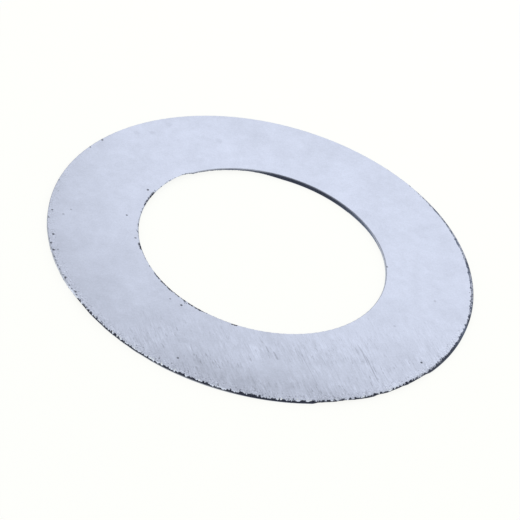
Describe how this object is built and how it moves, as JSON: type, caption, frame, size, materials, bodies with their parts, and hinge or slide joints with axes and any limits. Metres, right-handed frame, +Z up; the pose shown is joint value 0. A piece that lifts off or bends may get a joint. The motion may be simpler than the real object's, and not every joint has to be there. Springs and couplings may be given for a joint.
{
  "type": "shim ring",
  "caption": "Thin flat steel shim ring that fills axial play between parts on a shaft; blanked from sheet, with one side of its rim left torn.",
  "frame": {"origin": "centre of the bore at the bottom face, on which the ring lies", "axes": "+Z up along the bore axis; the torn side of the rim faces -Y and +X"},
  "size_m": [0.043, 0.043, 0.0005],
  "materials": {
    "steel_sheet": "satin rolled sheet with a dark sheared edge"
  },
  "bodies": {
    "root": {"shim_ring": "steel_sheet"}
  },
  "joints": []
}
